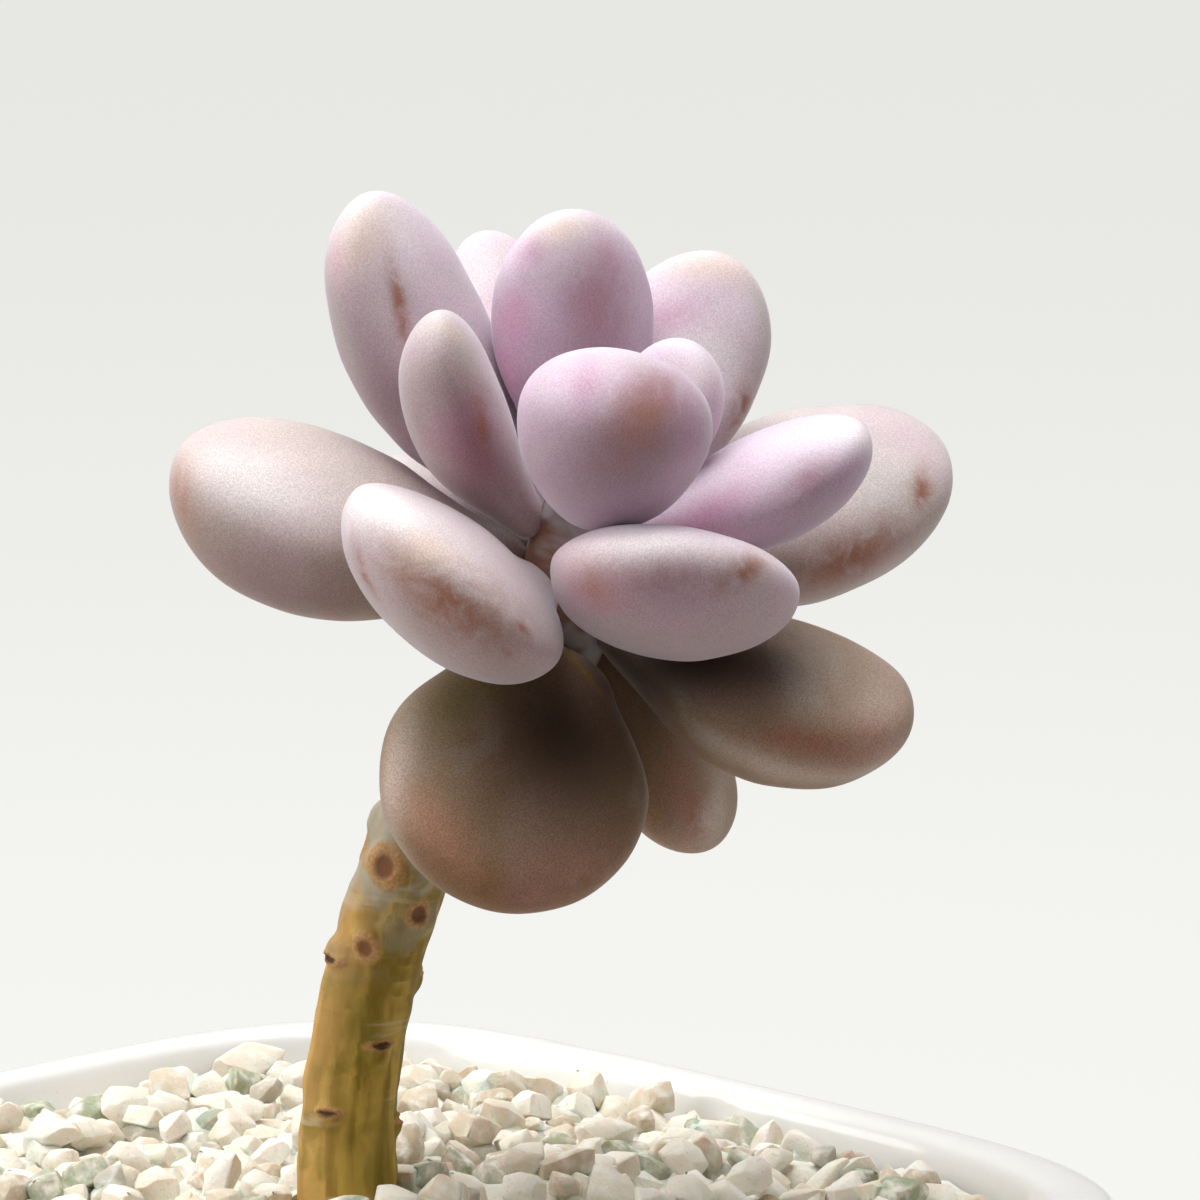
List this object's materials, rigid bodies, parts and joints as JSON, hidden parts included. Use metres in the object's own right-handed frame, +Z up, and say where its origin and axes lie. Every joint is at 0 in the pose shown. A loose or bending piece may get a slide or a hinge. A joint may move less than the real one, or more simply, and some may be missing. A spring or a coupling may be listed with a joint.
{
  "type": "potted graptopetalum amethystinum",
  "caption": "Potted succulent: a leaning bare stem with a rosette of very thick rounded leaves, in a rounded-square glazed pot filled with soil under pale gravel.",
  "frame": {"origin": "centre of the pot's foot, on the surface that it stands on", "axes": "+Z up, the pot's flat sides face +-X and +-Y, the plant leans towards +X"},
  "size_m": [0.119, 0.119, 0.1638],
  "materials": {
    "glaze": "glossy white glaze",
    "soil": "matte potting soil",
    "gravel": "rough crushed stone",
    "bark": "matte bark with leaf scars",
    "old_leaf": "matte, waxy powder bloom",
    "young_leaf": "matte, waxy powder bloom"
  },
  "bodies": {
    "root": {"pot": "glaze", "soil": "soil", "gravel": "gravel", "stem": "bark", "leaf_bottom_back": "old_leaf", "leaf_bottom_front": "old_leaf", "leaf_bottom_back_right": "old_leaf", "leaf_bottom_right": "old_leaf", "leaf_back": "young_leaf", "leaf_left": "old_leaf", "leaf_right": "young_leaf", "leaf_back_left": "young_leaf", "leaf_front_left": "young_leaf", "leaf_front_right": "young_leaf", "leaf_upper_back_right": "young_leaf", "leaf_upper_back_left": "young_leaf", "leaf_upper_left": "young_leaf", "leaf_finger_left": "young_leaf", "leaf_finger_right": "young_leaf", "leaf_upper_back": "young_leaf", "leaf_centre_front": "young_leaf", "leaf_centre_right": "young_leaf", "leaf_tip_back": "young_leaf", "leaf_tip_left": "young_leaf"}
  },
  "joints": []
}
